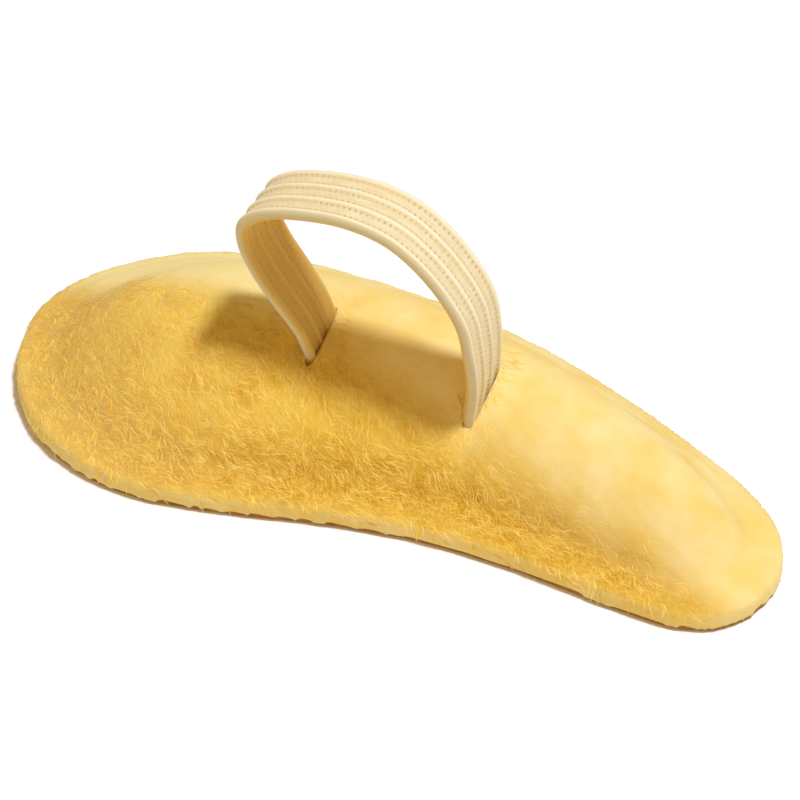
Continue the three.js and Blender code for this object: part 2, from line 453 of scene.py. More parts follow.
def reshape(thing, scale, move_of):
    """Moves each vertex by a vector worked out from its place and its normal, in millimetres."""
    bm = bmesh.new()
    bm.from_mesh(thing.data)
    for vertex in bm.verts:
        vertex.co += move_of(vertex.co / scale, vertex.normal) * scale
    bm.to_mesh(thing.data)
    bm.free()


def bump(distance, half):
    """A smooth bump, 1 in the middle and 0 from half its width outwards."""
    return 0 if abs(distance) >= half else math.cos(math.pi / 2 * distance / half) ** 2


def draw_in(place, normal):
    """Makes room for the swelling, presses the slits down and fills the crease behind."""
    inwards = normal * DRAW_IN * smooth_step(RIM_TOP, FREE_ABOVE, place.z)
    inside, _ = from_outline(place)
    filled = CREASE_FILL * bump(inside - CREASE, CREASE) * smooth_step(*BACK, place.y)
    upwards = smooth_step(*CREASE_FACES, normal.z) * filled - SLIT_DEPTH * slit_pull(place)
    return Vector((0, 0, upwards)) - inwards


def glued_at(place):
    """1 where the fabric is glued down, in the rim and the slits. Behind, only the hem is."""
    behind = smooth_step(*BACK, place.y)
    held = RIM_TOP - (RIM_TOP - HEM_TOP) * behind
    free = SWELL_FREE - (SWELL_FREE - RIM_TOP) * behind
    return max(1 - smooth_step(held, free, place.z), slit_pull(place))


def swell(thing):
    """Inflates the skin with the Cloth simulation and caps how far each point moves."""
    start = [vertex.co.copy() for vertex in thing.data.vertices]
    cloth = thing.modifiers.new("cloth", "CLOTH")
    cloth.settings.quality = 4
    cloth.settings.mass = SKIN_POINT_MASS
    cloth.settings.use_pressure = True
    cloth.settings.uniform_pressure_force = PRESSURE
    cloth.settings.vertex_group_mass = "glued"
    cloth.settings.effector_weights.gravity = 0
    cloth.point_cache.frame_end = SWELL_FRAMES
    for frame_number in range(1, SWELL_FRAMES + 1):
        bpy.context.scene.frame_set(frame_number)
    apply_modifiers(thing)
    bpy.context.scene.frame_set(1)
    cap = SWELL_CAP * MM * SIM_SCALE
    moves = []
    for vertex, was in zip(thing.data.vertices, start):
        move = vertex.co - was
        moves.append(min(move.length, cap) / MM / SIM_SCALE)
        if move.length > cap:
            vertex.co = was + move.normalized() * cap
    print("the fabric swelled by", round(sum(moves) / len(moves), 2), "mm on average")


reshape(cushion, MM * SIM_SCALE, draw_in)
set_weights(cushion, "glued", glued_at)
swell(cushion)

# %% [markdown]
# Back at its real size, the skin is subdivided once, so that a face is 0.3 mm wide. That is fine
# enough to carry the matted lumps and combed streaks of the nap as real relief. They are stronger
# on the slope that faces the wearer's toes and on the wide end, and rubbed nearly flat behind. At
# the rim the felted fabric hangs over most of the sole's cut edge. So what lies low and near the
# outline is pushed out past the sole's edge and folded down, and evened out before and after.

# %% Mat the surface
COMB = Vector((0.85, -0.35, -0.4)).normalized()  # the way that the nap lies
COMB_SIDE = COMB.orthogonal().normalized()
COMB_UP = COMB.cross(COMB_SIDE)
LUMP = 2.4
LUMP_HEIGHT = 0.11
STREAK_LENGTH = 2.6
STREAK_WIDTH = 0.7
STREAK_HEIGHT = 0.1
HEM_BOTTOM = 0.4
HEM_OUT = 0.3
HEM_WIDTH = (0.7, 1.6)  # pulled down fully up to the first distance inside the outline
HEM_FOLD = (1.55, 2.1)  # what lies under the first level is pulled down all the way
HEM_BULGE = (1.9, 2.6)  # and what lies under this one is pushed out over the sole's edge
HEM_ROUNDS = (8, 14)  # before and after the hem is pulled down
HEM_UNDERSIDE = -0.95  # faces that look down more than this lie flat on the sole
HEM_SHARE = 0.5
RUBBED = 0.2  # strength of the nap where it is rubbed flat
RUBBING_LINE = (-3.5, -0.2)  # its place along Y at the middle, and its slant
RUBBING_SOFT = 3


def nap_strength(place):
    """From rubbed flat to 1, by which side of the rubbing line a place lies on."""
    start, slant = RUBBING_LINE
    before_line = start + slant * place.x - place.y
    return RUBBED + (1 - RUBBED) * smooth_step(-RUBBING_SOFT, RUBBING_SOFT, before_line)


def relief(place):
    """Height of the matted nap at a place, in millimetres."""
    combed = Vector((
        place.dot(COMB) / STREAK_LENGTH,
        place.dot(COMB_SIDE) / STREAK_WIDTH,
        place.dot(COMB_UP) / STREAK_WIDTH,
    ))
    lumps = LUMP_HEIGHT * noise.noise(place / LUMP)
    streaks = STREAK_HEIGHT * noise.noise(combed)
    return nap_strength(place) * (lumps + streaks)


def nap_move(place, normal):
    """The relief of the nap, and the hem that hangs over the sole's cut edge."""
    inside, out = from_outline(place)
    edge = 1 - smooth_step(*HEM_WIDTH, inside)
    spread = out * (inside + HEM_OUT) * edge * (1 - smooth_step(*HEM_BULGE, place.z))
    drop = (place.z - HEM_BOTTOM) * edge * (1 - smooth_step(*HEM_FOLD, place.z))
    relief_share = smooth_step(COVER_BASE, RIM_TOP, place.z)
    return normal * relief(place) * relief_share + spread - Vector((0, 0, drop))


def even_hem(thing, rounds):
    """Evens out the hem, which the voxels left stepped."""
    bm = bmesh.new()
    bm.from_mesh(thing.data)
    hem = [
        vertex for vertex in bm.verts
        if vertex.co.z < HEM_BULGE[0] * MM and vertex.normal.z > HEM_UNDERSIDE
    ]
    axes = {"use_axis_x": True, "use_axis_y": True, "use_axis_z": True}
    for _ in range(rounds):
        bmesh.ops.smooth_vert(bm, verts=hem, factor=HEM_SHARE, **axes)
    bm.to_mesh(thing.data)
    bm.free()


def finish_cushion(thing):
    thing.data.transform(Matrix.Scale(1 / SIM_SCALE, 4))
    thing.vertex_groups.clear()
    finer = thing.modifiers.new("finer", "SUBSURF")
    finer.levels = finer.render_levels = 1
    apply_modifiers(thing)
    even_hem(thing, HEM_ROUNDS[0])
    reshape(thing, MM, nap_move)
    even_hem(thing, HEM_ROUNDS[1])


finish_cushion(cushion)
print("cushion skin has", len(cushion.data.polygons), "faces, matted")

# %% [markdown]
# ## The slits
# Each slit is a straight cut that the elastic forces open to an almond shape. A Boolean with an
# almond-shaped plug is the plain way to cut it: it goes in along the elastic, a little longer than
# the band is wide, so a short dark cut stays open past each edge of the band.

# %% Cut the slits
SLIT_OPEN = 0.8  # half of the almond's width at its middle
SLIT_CUT_DEPTH = 4
ALMOND_SIDES = 32


def stand_at(place, heading):
    """A frame at a point of the loop: X outwards across the strip, Y along the slit, Z onwards."""
    columns = (Vector((0, 1, 0)).cross(heading), Vector((0, 1, 0)), heading, place)
    return Matrix([[column[row] for column in columns] for row in range(3)] + [[0, 0, 0, 1]])


def slit_plug(leg):
    plug = bmesh.new()
    bmesh.ops.create_cone(
        plug, cap_ends=True, segments=ALMOND_SIDES, radius1=1, radius2=1, depth=2 * SLIT_CUT_DEPTH * MM,
    )
    bmesh.ops.scale(plug, vec=(SLIT_OPEN * MM, SLIT_HALF * MM, 1), verts=plug.verts)
    bmesh.ops.translate(plug, vec=(0, SLIT_SHIFT * MM, 0), verts=plug.verts)
    bmesh.ops.transform(plug, matrix=stand_at(*leg), verts=plug.verts)
    return object_from(plug, "slit_plug")


def cut_away(thing, plug):
    cutter = thing.modifiers.new("cut", "BOOLEAN")
    cutter.operation = "DIFFERENCE"
    cutter.solver = "EXACT"
    cutter.object = plug
    apply_modifiers(thing)
    bpy.data.objects.remove(plug)


for leg in legs:
    cut_away(cushion, slit_plug(leg))
print("cushion has", len(cushion.data.polygons), "faces with its slits")

# %% [markdown]
# ## Where the fabric is worn, and where highlight and shade are painted
# Wear follows the shape, so it is worked out from each point's place and kept on the mesh as
# attributes, which the material and the fibres read. The nap still stands on the slope before the
# rubbing line. The part behind it is pale, as rubbed nap and as painted highlight of the lit back,
# and the rim is pale too. The foot of the slope is painted deeper, as thicker nap and as painted
# shade, and the wide end has faded to lemon.

# %% Wear, painted highlight and painted shade kept on the mesh
STANDING_LEAST = 0.15  # how much of the flecks and streaks is left where the nap is rubbed
RIM_PALE = 0.9
RIM_PALE_TOP = RIM_TOP - 0.05
# the foot's deeper colour is partly thicker nap and partly painted shade
FOOT_SHADE_DEPTH = 0.95
FOOT_LEVEL = 2.8
FOOT_TOP = 8
WIDE_END = (-6, -28)  # the fading starts and is full, along X
LEMON = 0.22
LEMON_ON_PALE = 0.4


def rub_and_light_at(place):
    """0 where the nap still stands, 1 where it is rubbed smooth, which is also where the lit back gets
    its painted highlight.
    """
    return (1 - nap_strength(place)) / (1 - RUBBED)


def standing_at(place):
    """How much of the standing nap's flecks and streaks shows."""
    return 1 - (1 - STANDING_LEAST) * rub_and_light_at(place)


def pale_at(place):
    """1 where the fabric is pale: behind, as rubbed nap and as painted highlight of the lit back, and
    along the rim.
    """
    on_rim = 1 - smooth_step(HEM_TOP, RIM_PALE_TOP, place.z)
    return max(rub_and_light_at(place), RIM_PALE * on_rim)


def hollow_shade_and_nap_at(place):
    """How deep the colour is in the hollow foot of the slope: partly its thicker nap, and partly painted
    shade.
    """
    above_hem = smooth_step(HEM_TOP, FOOT_LEVEL, place.z)
    return FOOT_SHADE_DEPTH * above_hem * (1 - smooth_step(FOOT_LEVEL, FOOT_TOP, place.z))


def lemon_at(place):
    """How far the wide end has faded, most of all where it is pale already."""
    start, full = WIDE_END
    share = min(1, max(0, (place.x - start) / (full - start)))
    return share * (LEMON + LEMON_ON_PALE * pale_at(place))


def keep_on_mesh(thing, name, value_at):
    """Keeps a number for each vertex on the mesh, worked out from its place."""
    kept = thing.data.attributes.new(name, "FLOAT", "POINT")
    values = [value_at(vertex.co / MM) for vertex in thing.data.vertices]
    kept.data.foreach_set("value", values)
    print(name, "is", round(sum(values) / len(values), 2), "on average")


WEAR_MAPS = {
    "wear": rub_and_light_at, "standing": standing_at, "pale": pale_at, "foot_shade_and_nap": hollow_shade_and_nap_at, "lemon": lemon_at,
}
for name, value_at in WEAR_MAPS.items():
    keep_on_mesh(cushion, name, value_at)

# %% [markdown]
# ## Brushed golden fabric
# The cover is a cotton knit whose face was brushed with wire until its fibres stood up, and wear
# has matted them since. The eye gets a dull, soft surface with no gloss: deep gold with orange
# flecks where the nap stands, and smooth pale straw where it is rubbed, which is also painted
# highlight of the lit back. The hollow foot of the slope is painted deeper, partly as painted
# shade. Noises in real sizes give the mottling and the flecks. Single fibres are too fine to show
# as a pattern, so they are drawn as streaks two or three tenths of a millimetre wide, which run
# three ways and wander.

# %% Cover fabric
SPOTS = {  # size in millimetres, the noise's values where they start and are full, and strength
    "mottle": {"size": 5.0, "start": 0.36, "full": 0.64, "detail": 4, "strength": 1},
    "patch": {"size": 1.7, "start": 0.42, "full": 0.66, "detail": 4, "strength": 0.35},
    "fleck": {"size": 1.0, "start": 0.6, "full": 0.78, "detail": 2, "strength": 0.5},
}
STREAK = {"start": 0.5, "full": 0.68, "detail": 2, "strength": 0.5, "warp": 1.2}
STREAK_DRAWN = 9  # how much longer than wide a streak is
STREAK_LAYS = [  # width in millimetres, and the way that the streaks run
    (0.24, COMB),
    (0.3, Vector((0.45, -0.7, -0.55)).normalized()),
    (0.2, Vector((0.97, 0.15, 0.1)).normalized()),
]
FUZZ = 0.14
FUZZ_DETAIL = 3
FUZZ_HEIGHT = 0.07
FUZZ_STRENGTH = 0.6


def per_size(size):
    """The texture scale at which a noise has features of a size in millimetres."""
    return 1 / (size * MM)


def spots(tree, place, size, start, full, detail, strength, warp=0.0):
    """Soft spots of one size, from 0 up to their strength."""
    scattered = add_node(tree, "ShaderNodeTexNoise", {
        "Vector": place, "Scale": per_size(size), "Detail": detail, "Distortion": warp,
    })
    faded = add_node(tree, "ShaderNodeMapRange", {
        "Value": scattered.outputs["Fac"], "From Min": start, "From Max": full, "To Max": strength,
    })
    return faded.outputs["Result"]


def streaks(tree, place, width, heading):
    """Soft streaks that run one way: spots drawn out along a heading."""
    turn = (0, -math.asin(heading.z), math.atan2(heading.y, heading.x))
    drawn = add_node(tree, "ShaderNodeMapping", {
        "vector_type": "TEXTURE", "Rotation": turn, "Scale": (STREAK_DRAWN, 1, 1), "Vector": place,
    })
    return spots(tree, drawn.outputs["Vector"], width, **STREAK)


def cover_fabric():
    material, tree, shader = new_material(
        "brushed_cotton_golden", Roughness=0.95, Sheen_Weight=0.15, Sheen_Roughness=0.5,
        Sheen_Tint=linear("fff0c0"), Specular_IOR_Level=0.15,
    )
    place = add_node(tree, "ShaderNodeTexCoord", {}).outputs["Object"]
    mottle, patch, fleck = [spots(tree, place, **SPOTS[name]) for name in ("mottle", "patch", "fleck")]
    standing, pale, foot_shade_and_nap, lemon = [
        add_node(tree, "ShaderNodeAttribute", {"attribute_name": name}).outputs["Fac"]
        for name in ("standing", "pale", "foot_shade_and_nap", "lemon")
    ]
    brushed = lay_colour(tree, "d49c12", "eac03e", mottle)
    # painted shade: the hollow foot is darkened towards c78c0c, partly as thicker nap
    deep = lay_colour(tree, brushed, "c78c0c", foot_shade_and_nap)
    # painted highlight: the lit back is painted pale straw, as well as rubbed
    rubbed_and_lit = lay_colour(tree, "f4d57a", "f9e39e", mottle)
    worn_and_lit = lay_colour(tree, deep, rubbed_and_lit, pale)
    faded = lay_colour(tree, worn_and_lit, "f0e3a4", lemon)
    flecked = lay_colour(tree, faded, "ee9f33", fleck, standing)
    colour = lay_colour(tree, flecked, "eecb5c", patch, standing)
    height = add_node(tree, "ShaderNodeTexNoise", {
        "Vector": place, "Scale": per_size(FUZZ), "Detail": FUZZ_DETAIL,
    }).outputs["Fac"]
    for width, heading in STREAK_LAYS:
        shown_streak = add_node(tree, "ShaderNodeMath", {
            "operation": "MULTIPLY", 0: streaks(tree, place, width, heading), 1: standing,
        }).outputs[0]
        colour = lay_colour(tree, colour, "f3d46a", shown_streak)
        height = add_node(tree, "ShaderNodeMath", {
            "operation": "ADD", 0: height, 1: shown_streak,
        }).outputs[0]
    finish_surface(tree, shader, colour, height, FUZZ_HEIGHT, FUZZ_STRENGTH)
    return material


cushion.data.materials.clear()
cushion.data.materials.append(cover_fabric())
cushion.data.polygons.foreach_set("use_smooth", [True] * len(cushion.data.polygons))
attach(cushion, "root")
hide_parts("top_cover", "felt_core")

# %% [markdown]
# ## The nap
# Close up, the fabric is a tangle of fibres about a millimetre long that lie almost flat. Hair
# particles can't be exported, so Geometry Nodes scatter a few modelled fibres over the cushion,
# comb each one roughly the way of its neighbours, and realize them as plain meshes. Each fibre
# keeps a random tone, from gold to pale straw. The fibres are flat and unsmoothed, so they take
# the light as the fabric under them does, and they are matted in, so they cast no shadows.

# %% Fibre shapes
FIBRE_LENGTH = 1.3
FIBRE_HALF_WIDTH = 0.055
FIBRE_HALF_HEIGHT = 0.018
FIBRE_SIDES = 3
FIBRE_JOINTS = 2
FIBRE_ENDS = (0, 1)  # where along its length a fibre runs to a point
FIBRE_SINK = 0.005
LENGTHWISE = 0.5  # an edge of the uncut spindle that is longer than this runs along it
# rise is the height of the arch, sway how far it bends aside, both in shares of the length
FIBRE_FORMS = [
    {"rise": 0.02, "sway": 0.06},
    {"rise": 0.03, "sway": -0.09},
    {"rise": 0.015, "sway": 0.12},
    {"rise": 0.035, "sway": -0.05},
    {"rise": 0.025, "sway": 0.03},
]


def fibre_mesh(name, rise, sway):
    """A thin spindle along X, cut by a few joints and bent to an arch, its ends just sunk in."""
    bm = bmesh.new()
    bmesh.ops.create_cone(
        bm, cap_ends=False, segments=FIBRE_SIDES, radius1=1, radius2=1, depth=1,
        matrix=Matrix.Rotation(math.pi / 2, 4, "Y") @ Matrix.Translation((0, 0, 0.5)),
    )
    sides = [
        edge for edge in bm.edges if abs(edge.verts[0].co.x - edge.verts[1].co.x) > LENGTHWISE
    ]
    bmesh.ops.subdivide_edges(bm, edges=sides, cuts=FIBRE_JOINTS, use_grid_fill=False)
    for end in FIBRE_ENDS:
        ring = [vertex for vertex in bm.verts if abs(vertex.co.x - end) < 0.01]
        bmesh.ops.pointmerge(bm, verts=ring, merge_co=(end, 0, 0))
    for vertex in bm.verts:
        share = vertex.co.x
        arch = 4 * share * (1 - share)
        vertex.co = Vector((
            share * FIBRE_LENGTH,
            vertex.co.y * FIBRE_HALF_WIDTH + sway * FIBRE_LENGTH * arch,
            vertex.co.z * FIBRE_HALF_HEIGHT + rise * FIBRE_LENGTH * arch - FIBRE_SINK,
        )) * MM
    bmesh.ops.recalc_face_normals(bm, faces=bm.faces)
    print(name, "has", sum(len(face.verts) - 2 for face in bm.faces), "triangles")
    return object_from(bm, name)


fibre_kit = bpy.data.collections.new("fibre_kit")
for number, form in enumerate(FIBRE_FORMS):
    fibre = fibre_mesh(f"fibre_form_{number}", **form)
    bpy.context.scene.collection.objects.unlink(fibre)
    fibre_kit.objects.link(fibre)

# %% [markdown]
# The fibres grow where the nap stands, down to the hem, and a few torn ones lie round the slits.
# How many grow on each square metre is kept on the mesh like the wear. The zones run along the
# cushion, so that no mesh gets too heavy, and each scatter's seeds follow from its zone's number,
# so every run lays the same fibres. A fibre's own axes are turned so that its Z follows the
# surface and its X the comb. Then it is spun about the surface's normal, by a slow swirl that
# neighbours share and by a random turn of its own.

# %% Scatter the nap
NAP_DENSITY = 4.5  # fibres on a square millimetre of standing nap
NAP_ZONES = [(-60, -22), (-22, -3), (-3, 17), (17, 60)]  # from and to, along X
FIBRES_ABOVE = 0.9
FIBRE_FACES = (-0.1, 0.4)  # fibres start and are full on faces that look up this much
FRAY = 1.5  # how thickly torn fibres lie round a slit
FRAY_REACH = 2.6
SWIRL = 3.5
SWIRL_DETAIL = 1
SWIRL_SPREAD = 2.4
WORN_AND_LIT_TONE = 0.6  # how much paler the fibres are where the fabric is rubbed, as wear and as painted highlight of the lit back
TABLE_GAP = 0.05  # no fibre reaches closer to the table
FORM_DRAW = 3  # the number of the draw that picks a fibre's form
FIBRE_DRAWS = [  # what else is drawn for each fibre, from, to, and the number of its draw
    ("spin", -0.6, 0.6, 1),
    ("pitch", -0.03, 0.01, 2),
    ("size", 0.55, 1.35, 4),
    ("tone", 0, 1, 5),
]


def note_fibres(thing):
    """Keeps on the mesh how many fibres grow on a square metre."""
    kept = thing.data.attributes.new("fibres", "FLOAT", "POINT")
    bm = bmesh.new()
    bm.from_mesh(thing.data)
    densities = []
    for vertex in bm.verts:
        place = vertex.co / MM
        shown_side = smooth_step(*FIBRE_FACES, vertex.normal.z)
        above_hem = smooth_step(FIBRES_ABOVE, RIM_TOP, place.z)
        by_slit = 1 - smooth_step(SLIT_OPEN, FRAY_REACH, slit_distance(place))
        frayed = FRAY * by_slit * smooth_step(*CREST, place.z)
        growth = max(frayed, (1 - rub_and_light_at(place)) ** 2)
        densities.append(shown_side * above_hem * growth * NAP_DENSITY / MM ** 2)
    bm.free()
    kept.data.foreach_set("value", densities)


def fibre_turn(tree, place, normal, drawn):
    """How each fibre lies: along the surface, combed, swirled and turned by its own draws."""
    upright = add_node(tree, "FunctionNodeAlignRotationToVector", {
        "axis": "Z", "Vector": normal,
    }).outputs["Rotation"]
    combed = add_node(tree, "FunctionNodeAlignRotationToVector", {
        "axis": "X", "pivot_axis": "Z", "Vector": COMB, "Rotation": upright,
    }).outputs["Rotation"]
    swirl = add_node(tree, "ShaderNodeTexNoise", {
        "Vector": place, "Scale": per_size(SWIRL), "Detail": SWIRL_DETAIL,
    }).outputs["Fac"]
    swirl_turn = add_node(tree, "ShaderNodeMapRange", {
        "Value": swirl, "To Min": -SWIRL_SPREAD, "To Max": SWIRL_SPREAD,
    }).outputs["Result"]
    spin = add_node(tree, "ShaderNodeMath", {
        "operation": "ADD", 0: swirl_turn, 1: drawn["spin"],
    }).outputs[0]
    angles = add_node(tree, "ShaderNodeCombineXYZ", {"Y": drawn["pitch"], "Z": spin}).outputs["Vector"]
    turn = add_node(tree, "FunctionNodeEulerToRotation", {"Euler": angles}).outputs[0]
    return add_node(tree, "FunctionNodeRotateRotation", {
        "rotation_space": "LOCAL", "Rotation": combed, "Rotate By": turn,
    }).outputs["Rotation"]


def lay_fibres(group_name, zone, seed):
    """The node tree that covers one zone of a mesh with combed fibres."""
    tree = bpy.data.node_groups.new(group_name, "GeometryNodeTree")
    for in_out in ("INPUT", "OUTPUT"):
        tree.interface.new_socket("Geometry", in_out=in_out, socket_type="NodeSocketGeometry")
    surface = add_node(tree, "NodeGroupInput", {}).outputs["Geometry"]
    place = add_node(tree, "GeometryNodeInputPosition", {}).outputs["Position"]
    axes = add_node(tree, "ShaderNodeSeparateXYZ", {"Vector": place}).outputs
    density, worn_and_lit = [
        add_node(tree, "GeometryNodeInputNamedAttribute", {"Name": name}).outputs["Attribute"]
        for name in ("fibres", "wear")
    ]
    past_start, before_end = [
        add_node(tree, "FunctionNodeCompare", {
            "operation": operation, "A": axes["X"], "B": edge * MM,
        }).outputs["Result"]
        for operation, edge in zip(("GREATER_EQUAL", "LESS_THAN"), zone)
    ]
    in_zone = add_node(tree, "FunctionNodeBooleanMath", {
        "operation": "AND", 0: past_start, 1: before_end,
    }).outputs[0]
    scatter = add_node(tree, "GeometryNodeDistributePointsOnFaces", {
        "Mesh": surface, "Selection": in_zone, "Density": density, "Seed": seed,
    }).outputs
    drawn = {
        name: add_node(tree, "FunctionNodeRandomValue", {
            2: low, 3: high, "Seed": seed + number,
        }).outputs[1]
        for name, low, high, number in FIBRE_DRAWS
    }
    forms = add_node(tree, "GeometryNodeCollectionInfo", {
        "Collection": fibre_kit, "Separate Children": True, "Reset Children": True,
    }).outputs["Instances"]
    form = add_node(tree, "FunctionNodeRandomValue", {
        "data_type": "INT", 4: 0, 5: len(FIBRE_FORMS) - 1, "Seed": seed + FORM_DRAW,
    }).outputs[2]
    laid = add_node(tree, "GeometryNodeInstanceOnPoints", {
        "Points": scatter["Points"], "Instance": forms, "Pick Instance": True,
        "Instance Index": form, "Scale": drawn["size"],
        "Rotation": fibre_turn(tree, place, scatter["Normal"], drawn),
    }).outputs["Instances"]
    # painted highlight: a fibre's tone is raised where the back is rubbed and lit
    tone = add_node(tree, "ShaderNodeMath", {
        "operation": "MULTIPLY_ADD", 0: worn_and_lit, 1: WORN_AND_LIT_TONE, 2: drawn["tone"],
    }).outputs[0]
    toned = add_node(tree, "GeometryNodeStoreNamedAttribute", {
        "domain": "INSTANCE", "Name": "tone", "Geometry": laid, "Value": tone,
    }).outputs["Geometry"]
    realized = add_node(tree, "GeometryNodeRealizeInstances", {"Geometry": toned}).outputs["Geometry"]
    level = add_node(tree, "ShaderNodeMath", {
        "operation": "MAXIMUM", 0: axes["Z"], 1: TABLE_GAP * MM,
    }).outputs[0]
    held_up = add_node(tree, "ShaderNodeCombineXYZ", {
        "X": axes["X"], "Y": axes["Y"], "Z": level,
    }).outputs["Vector"]
    settled = add_node(tree, "GeometryNodeSetPosition", {
        "Geometry": realized, "Position": held_up,
    }).outputs["Geometry"]
    add_node(tree, "NodeGroupOutput", {"Geometry": settled})
    return tree


# %% Fibre finish and pieces
LOWEST_TONE = "dfb034"
FIBRE_TONES = [  # the tones at which a colour starts and is full
    (0.0, 0.5, "ebc656"),
    (0.45, 1.0, "f1d678"),
]


def fibre_finish():
    """Loose cotton fibres: dull, and each with its own tone."""
    material, tree, shader = new_material(
        "loose_cotton_fibre", Roughness=0.95, Specular_IOR_Level=0.1,
    )
    tone = add_node(tree, "ShaderNodeAttribute", {"attribute_name": "tone"}).outputs["Fac"]
    colour = LOWEST_TONE
    for start, full, paler in FIBRE_TONES:
        share = add_node(tree, "ShaderNodeMapRange", {
            "Value": tone, "From Min": start, "From Max": full,
        }).outputs["Result"]
        colour = lay_colour(tree, colour, paler, share)
    tree.links.new(colour, shader.inputs["Base Color"])
    return material


def nap_piece(name, zone, seed, finish):
    source = new_object(name, cushion.data.copy())
    layer = source.modifiers.new("nap", "NODES")
    layer.node_group = lay_fibres(name + "_nodes", zone, seed)
    apply_modifiers(source)
    source.data.materials.clear()
    source.data.materials.append(finish)
    source.visible_shadow = False
    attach(source, "root")
    triangles = sum(len(face.vertices) - 2 for face in source.data.polygons)
    print(name, "has", triangles, "triangles")


note_fibres(cushion)
fibre_material = fibre_finish()
for number, zone in enumerate(NAP_ZONES):
    nap_piece(f"nap_{number + 1}", zone, 10 * (number + 1), fibre_material)

# %% [markdown]
# ## The elastic
# Flat braided elastic has fine raised ribs along it, with smooth panels between, and its cross
# threads show as little rungs at the foot of each rib. It could be a swept curve, but a curve's
# bevel can't carry rungs. So a fine grid is rolled up to the strip's section and its rows are
# stood along the route, five rows to each cross thread, and then the rungs are pressed in. Close
# to the cushion the strip gets a little narrower, where the slits gather it.

# %% Knit the elastic
RIBS = 4
RIB_HALF = 0.25
RIB_HEIGHT = 0.24
EDGE_ROUND = 0.5
FACE_POINTS = 37
EDGE_POINTS = 5
RUNG_OFFSET = 0.5
RUNG_HALF = 0.3
RUNG_DEPTH = 0.06
PANEL_DEPTH = 0.018
GATHERED_WIDTH = 0.86
GATHERED_BELOW = 11
FREE_WIDTH_ABOVE = 19

FACE_REACH = BAND_WIDTH / 2 - EDGE_ROUND
RIB_SPACING = 2 * FACE_REACH / (RIBS - 1)
rib_places = [-FACE_REACH + index * RIB_SPACING for index in range(RIBS)]
rung_places = [
    place + side * RUNG_OFFSET for place in rib_places for side in (-1, 1)
    if abs(place + side * RUNG_OFFSET) < FACE_REACH
]


def rib_profile(across):
    """Height of the elastic's face over its middle plane."""
    ribs = max(bump(across - place, 2 * RIB_HALF) for place in rib_places)
    return BAND_THICKNESS / 2 - RIB_HEIGHT * (1 - ribs)


def rung_depth(across, along):
    """How deep the gaps between the cross threads are, at a place on the face."""
    beside_rib = max(bump(across - place, RUNG_HALF) for place in rung_places)
    on_panel = 1 - smooth_step(FACE_REACH - RIB_HALF, FACE_REACH, abs(across))
    wave = 0.5 - 0.5 * math.cos(2 * math.pi * along / STITCH)
    return wave * max(RUNG_DEPTH * beside_rib, PANEL_DEPTH * on_panel)


def section_points():
    """The strip's outline, as pairs of across and out: outer face, edge, inner face, edge."""
    face = [-FACE_REACH + 2 * FACE_REACH * index / (FACE_POINTS - 1) for index in range(FACE_POINTS)]
    outer = [(across, rib_profile(across)) for across in face]
    edge_half = rib_profile(FACE_REACH)
    turn = [math.pi * index / (EDGE_POINTS + 1) for index in range(1, EDGE_POINTS + 1)]
    edge = [(FACE_REACH + EDGE_ROUND * math.sin(angle), edge_half * math.cos(angle)) for angle in turn]
    half = outer + edge
    return half + [(-across, -out) for across, out in half]


def route_frame(index):
    """Where the strip's section stands at a step: across along Y, out away from the loop's inside."""
    place = loop_places[index]
    before = loop_places[index - 1]
    after = loop_places[(index + 1) % len(loop_places)]
    heading = (after - before).normalized()
    gathered = 1 - smooth_step(GATHERED_BELOW, FREE_WIDTH_ABOVE, place.y)
    width = 1 - (1 - GATHERED_WIDTH) * gathered
    return Matrix((
        (0, -heading.y, heading.x, place.x * MM),
        (width, 0, 0, (LOOP_ACROSS + SLIT_SHIFT * gathered) * MM),
        (0, heading.x, heading.y, place.y * MM),
        (0, 0, 0, 1),
    ))


def knit_elastic():
    """A flat grid is rolled up to the strip's section, and its rows are stood along the route."""
    outline = section_points()
    stands = [route_frame(index) for index in range(len(loop_places))]
    bm = bmesh.new()
    weave = bm.verts.layers.float_vector.new("weave")
    bmesh.ops.create_grid(bm, x_segments=len(outline), y_segments=len(stands), size=0.5)
    for vertex in bm.verts:
        column = round((vertex.co.x + 0.5) * len(outline)) % len(outline)
        row = round((vertex.co.y + 0.5) * len(stands)) % len(stands)
        across, out = outline[column]
        vertex[weave] = (across, min(row, len(shown)) * KNIT_STEP, out)
        vertex.co = stands[row] @ Vector((across * MM, out * MM, 0))
    bmesh.ops.remove_doubles(bm, verts=bm.verts, dist=0.001 * MM)
    bmesh.ops.recalc_face_normals(bm, faces=bm.faces)
    bm.normal_update()
    for vertex in bm.verts:
        across, along, _ = vertex[weave]
        vertex.co -= vertex.normal * rung_depth(across, along) * MM
    return object_from(bm, "elastic_loop")


elastic = knit_elastic()
elastic.data.polygons.foreach_set("use_smooth", [True] * len(elastic.data.polygons))
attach(elastic, "root")
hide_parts("toe_loop")
print("elastic has", len(elastic.data.polygons), "faces")

# %% [markdown]
# The elastic is bleached cotton braided over rubber, creamy with wear. Its ribs are painted
# lighter, as painted highlight where they catch the light, and its panels are a dull peach. The
# grooves beside the ribs and the gaps between the rungs are painted darker, as painted shade, its
# rounded edges are tinted greyish, as painted shade and reflection, and its inside is painted a
# deeper ochre, as painted shade. The knit kept its own coordinates on the mesh, so the colours
# follow the ribs and the cross threads round every bend.

# %% Elastic finish
RIB_HIGHLIGHT = (0.08, 0.3)  # from a rib's middle, where its painted highlight fades
RUNG_FROM = 0.26  # from a rib's middle, where its rungs start
RUNG_TO = 0.7
RUNG_SOFT = 0.1
# painted shade: how much the grooves beside the ribs, and the gaps between the rungs, are darkened
GROOVE_SHADE = 0.35
GAP_SHADE = 0.7
# painted shade and reflection: how strongly the rounded edges are tinted greyish
EDGE_SHADE = 0.7
